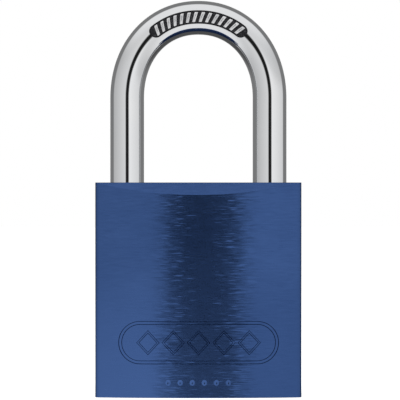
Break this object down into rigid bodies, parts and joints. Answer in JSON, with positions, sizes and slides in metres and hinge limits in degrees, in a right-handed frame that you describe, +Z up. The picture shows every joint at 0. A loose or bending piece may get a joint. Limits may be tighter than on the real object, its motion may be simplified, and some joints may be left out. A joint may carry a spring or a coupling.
{
  "type": "padlock",
  "caption": "Keyed padlock with a crowned rectangular body, a round U-shaped shackle locked by balls at both legs, and a pin tumbler cylinder opening underneath.",
  "frame": {"origin": "centre of the body's underside", "axes": "+Z up towards the shackle's crown, +X towards the toe leg, -Y out of the front face"},
  "size_m": [0.04, 0.0194, 0.0772],
  "materials": {
    "anodised_body": "horizontally brushed, blue anodised",
    "chromed_shackle": "polished chrome plate",
    "hardened_steel": "ground",
    "spring_steel": "drawn wire",
    "blackened_steel": "black oxide",
    "brass": "machined",
    "brass_plug": "machined, lightly polished",
    "nickel_silver": "turned nickel silver"
  },
  "bodies": {
    "case": {"body": "anodised_body", "cylinder_housing": "brass", "spring_cover": "brass", "cylinder_retaining_screw": "blackened_steel", "shackle_retaining_pin": "hardened_steel", "shackle_spring": "spring_steel", "pin_spring_1": "spring_steel", "pin_spring_2": "spring_steel", "pin_spring_3": "spring_steel", "pin_spring_4": "spring_steel", "pin_spring_5": "spring_steel", "pin_spring_6": "spring_steel"},
    "shackle": {"shackle": "chromed_shackle"},
    "toe_ball": {"toe_locking_ball": "hardened_steel"},
    "heel_ball": {"heel_locking_ball": "hardened_steel"},
    "plug": {"cylinder_plug": "brass_plug", "plug_retaining_clip": "spring_steel", "locking_cam": "hardened_steel"},
    "key_pin_1": {"key_pin_1": "brass_plug"},
    "key_pin_2": {"key_pin_2": "brass_plug"},
    "key_pin_3": {"key_pin_3": "brass_plug"},
    "key_pin_4": {"key_pin_4": "brass_plug"},
    "key_pin_5": {"key_pin_5": "brass_plug"},
    "key_pin_6": {"key_pin_6": "brass_plug"},
    "driver_pin_1": {"driver_pin_1": "nickel_silver"},
    "driver_pin_2": {"driver_pin_2": "nickel_silver"},
    "driver_pin_3": {"driver_pin_3": "nickel_silver"},
    "driver_pin_4": {"driver_pin_4": "nickel_silver"},
    "driver_pin_5": {"driver_pin_5": "nickel_silver"},
    "driver_pin_6": {"driver_pin_6": "nickel_silver"}
  },
  "joints": [
    {"name": "shackle_lift", "type": "slide", "parent": "case", "child": "shackle", "axis": [0, 0, 1], "range_m": [0, 0.01398], "deforming": ["shackle_spring"]},
    {"name": "plug_turn", "type": "hinge", "parent": "case", "child": "plug", "pos_m": [0, 0, 0.0004], "axis": [0, 0, 1], "range_deg": [-90, 0]},
    {"name": "toe_ball_slide", "type": "slide", "parent": "case", "child": "toe_ball", "axis": [1, 0, 0], "range_m": [0, 0.0016]},
    {"name": "heel_ball_slide", "type": "slide", "parent": "case", "child": "heel_ball", "axis": [-1, 0, 0], "range_m": [0, 0.0016]},
    {"name": "key_pin_1_slide", "type": "slide", "parent": "plug", "child": "key_pin_1", "axis": [0, 1, 0], "range_m": [0, 0.00085]},
    {"name": "key_pin_2_slide", "type": "slide", "parent": "plug", "child": "key_pin_2", "axis": [0, 1, 0], "range_m": [0, 0.00155]},
    {"name": "key_pin_3_slide", "type": "slide", "parent": "plug", "child": "key_pin_3", "axis": [0, 1, 0], "range_m": [0, 0.0005]},
    {"name": "key_pin_4_slide", "type": "slide", "parent": "plug", "child": "key_pin_4", "axis": [0, 1, 0], "range_m": [0, 0.0012]},
    {"name": "key_pin_5_slide", "type": "slide", "parent": "plug", "child": "key_pin_5", "axis": [0, 1, 0], "range_m": [0, 0.0019]},
    {"name": "key_pin_6_slide", "type": "slide", "parent": "plug", "child": "key_pin_6", "axis": [0, 1, 0], "range_m": [0, 0.00085]},
    {"name": "driver_pin_1_slide", "type": "slide", "parent": "case", "child": "driver_pin_1", "axis": [1, 0, 0], "range_m": [0, 0.0025], "stiffness_N_per_m": 60, "springref_m": -0.004, "deforming": ["pin_spring_1"]},
    {"name": "driver_pin_2_slide", "type": "slide", "parent": "case", "child": "driver_pin_2", "axis": [1, 0, 0], "range_m": [0, 0.0025], "stiffness_N_per_m": 60, "springref_m": -0.004, "deforming": ["pin_spring_2"]},
    {"name": "driver_pin_3_slide", "type": "slide", "parent": "case", "child": "driver_pin_3", "axis": [1, 0, 0], "range_m": [0, 0.0025], "stiffness_N_per_m": 60, "springref_m": -0.004, "deforming": ["pin_spring_3"]},
    {"name": "driver_pin_4_slide", "type": "slide", "parent": "case", "child": "driver_pin_4", "axis": [1, 0, 0], "range_m": [0, 0.0025], "stiffness_N_per_m": 60, "springref_m": -0.004, "deforming": ["pin_spring_4"]},
    {"name": "driver_pin_5_slide", "type": "slide", "parent": "case", "child": "driver_pin_5", "axis": [1, 0, 0], "range_m": [0, 0.0025], "stiffness_N_per_m": 60, "springref_m": -0.004, "deforming": ["pin_spring_5"]},
    {"name": "driver_pin_6_slide", "type": "slide", "parent": "case", "child": "driver_pin_6", "axis": [1, 0, 0], "range_m": [0, 0.0025], "stiffness_N_per_m": 60, "springref_m": -0.004, "deforming": ["pin_spring_6"]}
  ],
  "couplings": [
    {"joint": "toe_ball_slide", "follows": "plug_turn", "m_per_rad": -0.0010185},
    {"joint": "heel_ball_slide", "follows": "plug_turn", "m_per_rad": -0.0010185}
  ]
}
